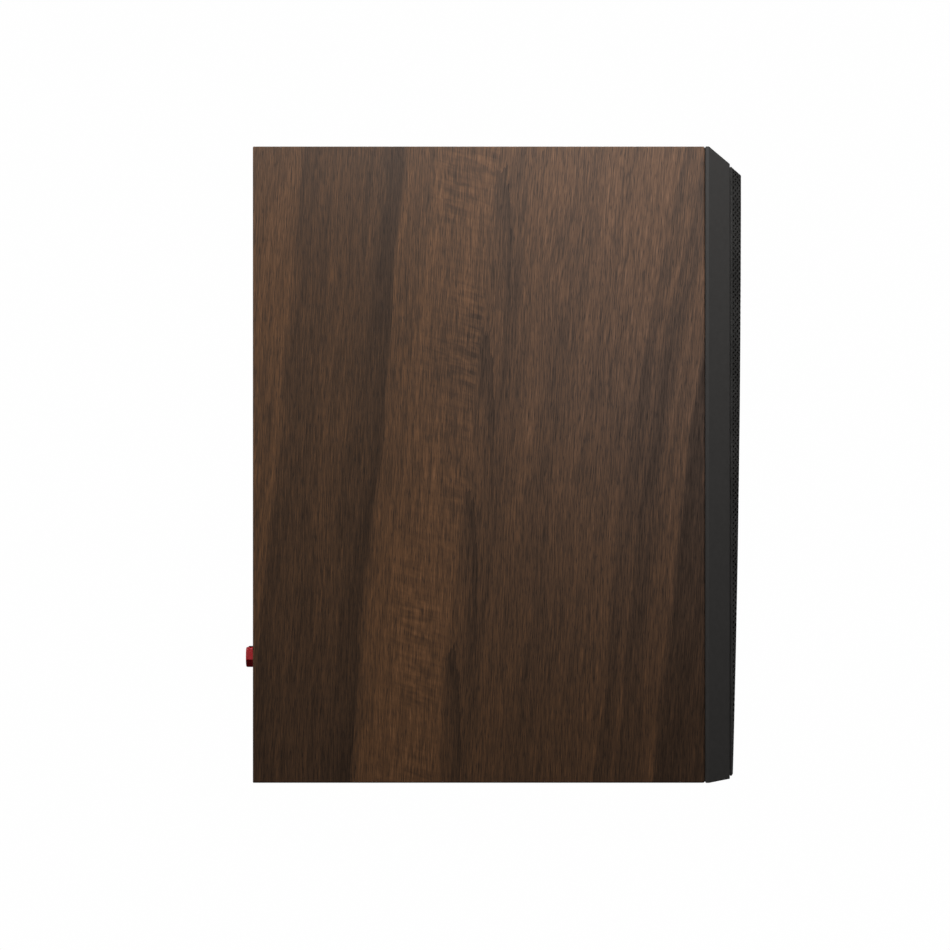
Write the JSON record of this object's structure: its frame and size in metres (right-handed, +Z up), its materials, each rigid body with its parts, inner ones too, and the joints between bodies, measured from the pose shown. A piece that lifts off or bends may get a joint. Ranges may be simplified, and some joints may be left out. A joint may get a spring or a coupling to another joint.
{
  "type": "bookshelf speaker",
  "caption": "Two-way bookshelf speaker: walnut-vinyl cabinet, chamfered black baffle, curved perforated grille, rear port and screw-down binding posts.",
  "frame": {"origin": "centre of the underside, below the middle of the whole object", "axes": "+Z up; the front with the grille faces -Y; +X is to the right as the listener sees it"},
  "size_m": [0.19, 0.2556, 0.32],
  "materials": {
    "walnut_vinyl": "satin walnut-grain vinyl on fibreboard",
    "baffle_black": "satin black",
    "black_plastic": "satin black moulding",
    "fibreboard": "raw fibreboard",
    "felt": "grey felt",
    "steel": "black coated steel",
    "zinc_steel": "zinc-plated steel",
    "ferrite": "sintered ferrite",
    "brass": "turned, gold-coloured plating",
    "copper": "enamelled copper wire",
    "cone_paper": "coated black paper",
    "rubber": "matte butyl rubber",
    "spider_cloth": "resin-treated cotton",
    "dome_silk": "coated black silk",
    "grille_metal": "black powder-coated perforated steel",
    "red_plastic": "translucent red moulding",
    "circuit_board": "green laminate",
    "white_ceramic": "unglazed white",
    "cable_jacket": "PVC twin lead"
  },
  "bodies": {
    "cabinet": {"side_panel_left": "walnut_vinyl", "side_panel_right": "walnut_vinyl", "top_panel": "walnut_vinyl", "bottom_panel": "walnut_vinyl", "back_panel": "walnut_vinyl", "front_baffle": "baffle_black", "port_tube": "black_plastic", "terminal_cup": "black_plastic", "woofer_trim_ring": "black_plastic", "tweeter_waveguide": "black_plastic", "woofer_capacitor": "black_plastic", "window_brace": "fibreboard", "woofer_terminal_strip": "fibreboard", "damping_lining": "felt", "woofer_basket": "steel", "woofer_screw_1": "steel", "woofer_screw_2": "steel", "woofer_screw_3": "steel", "woofer_screw_4": "steel", "tweeter_screw_1": "steel", "tweeter_screw_2": "steel", "tweeter_screw_3": "steel", "tweeter_screw_4": "steel", "woofer_top_plate": "zinc_steel", "woofer_yoke": "zinc_steel", "tweeter_top_plate": "zinc_steel", "tweeter_yoke": "zinc_steel", "red_post_nut": "zinc_steel", "black_post_nut": "zinc_steel", "grille_magnet_1": "zinc_steel", "grille_magnet_2": "zinc_steel", "grille_magnet_3": "zinc_steel", "grille_magnet_4": "zinc_steel", "woofer_magnet": "ferrite", "tweeter_magnet": "ferrite", "red_post": "brass", "black_post": "brass", "woofer_inductor": "copper", "tweeter_inductor": "copper", "woofer_gasket": "rubber", "crossover_board": "circuit_board", "tweeter_capacitor": "white_ceramic", "tweeter_resistor": "white_ceramic", "input_cable": "cable_jacket", "woofer_cable": "cable_jacket", "tweeter_cable": "cable_jacket"},
    "woofer_moving": {"woofer_cone": "cone_paper", "woofer_dust_cap": "cone_paper", "woofer_surround": "rubber", "woofer_spider": "spider_cloth", "voice_coil_former": "brass", "woofer_voice_coil": "copper"},
    "tweeter_moving": {"tweeter_dome": "dome_silk", "tweeter_voice_coil": "copper"},
    "grille": {"grille_frame": "black_plastic", "grille_mesh": "grille_metal"},
    "red_cap_travel": {"red_cap_insert": "brass"},
    "red_cap": {"red_cap": "red_plastic"},
    "black_cap_travel": {"black_cap_insert": "brass"},
    "black_cap": {"black_cap": "black_plastic"}
  },
  "joints": [
    {"name": "woofer_stroke", "type": "slide", "parent": "cabinet", "child": "woofer_moving", "axis": [0, -1, 0], "range_m": [-0.004, 0.004], "stiffness_N_per_m": 1100, "deforming": ["woofer_surround", "woofer_spider"]},
    {"name": "tweeter_stroke", "type": "slide", "parent": "cabinet", "child": "tweeter_moving", "axis": [0, -1, 0], "range_m": [-0.0003, 0.0003], "stiffness_N_per_m": 3000},
    {"name": "grille_pull", "type": "slide", "parent": "cabinet", "child": "grille", "axis": [0, -1, 0], "range_m": [0, 0.06]},
    {"name": "red_cap_travel", "type": "slide", "parent": "cabinet", "child": "red_cap_travel", "axis": [0, 1, 0], "range_m": [0, 0.0056]},
    {"name": "red_cap_turn", "type": "hinge", "parent": "red_cap_travel", "child": "red_cap", "pos_m": [-0.00953, 0.1191, 0.059], "axis": [0, 1, 0], "range_deg": [0, 2520]},
    {"name": "black_cap_travel", "type": "slide", "parent": "cabinet", "child": "black_cap_travel", "axis": [0, 1, 0], "range_m": [0, 0.0056]},
    {"name": "black_cap_turn", "type": "hinge", "parent": "black_cap_travel", "child": "black_cap", "pos_m": [0.00953, 0.1191, 0.059], "axis": [0, 1, 0], "range_deg": [0, 2520]}
  ],
  "couplings": [
    {"joint": "red_cap_turn", "follows": "red_cap_travel", "rad_per_m": 7850},
    {"joint": "black_cap_turn", "follows": "black_cap_travel", "rad_per_m": 7850}
  ]
}
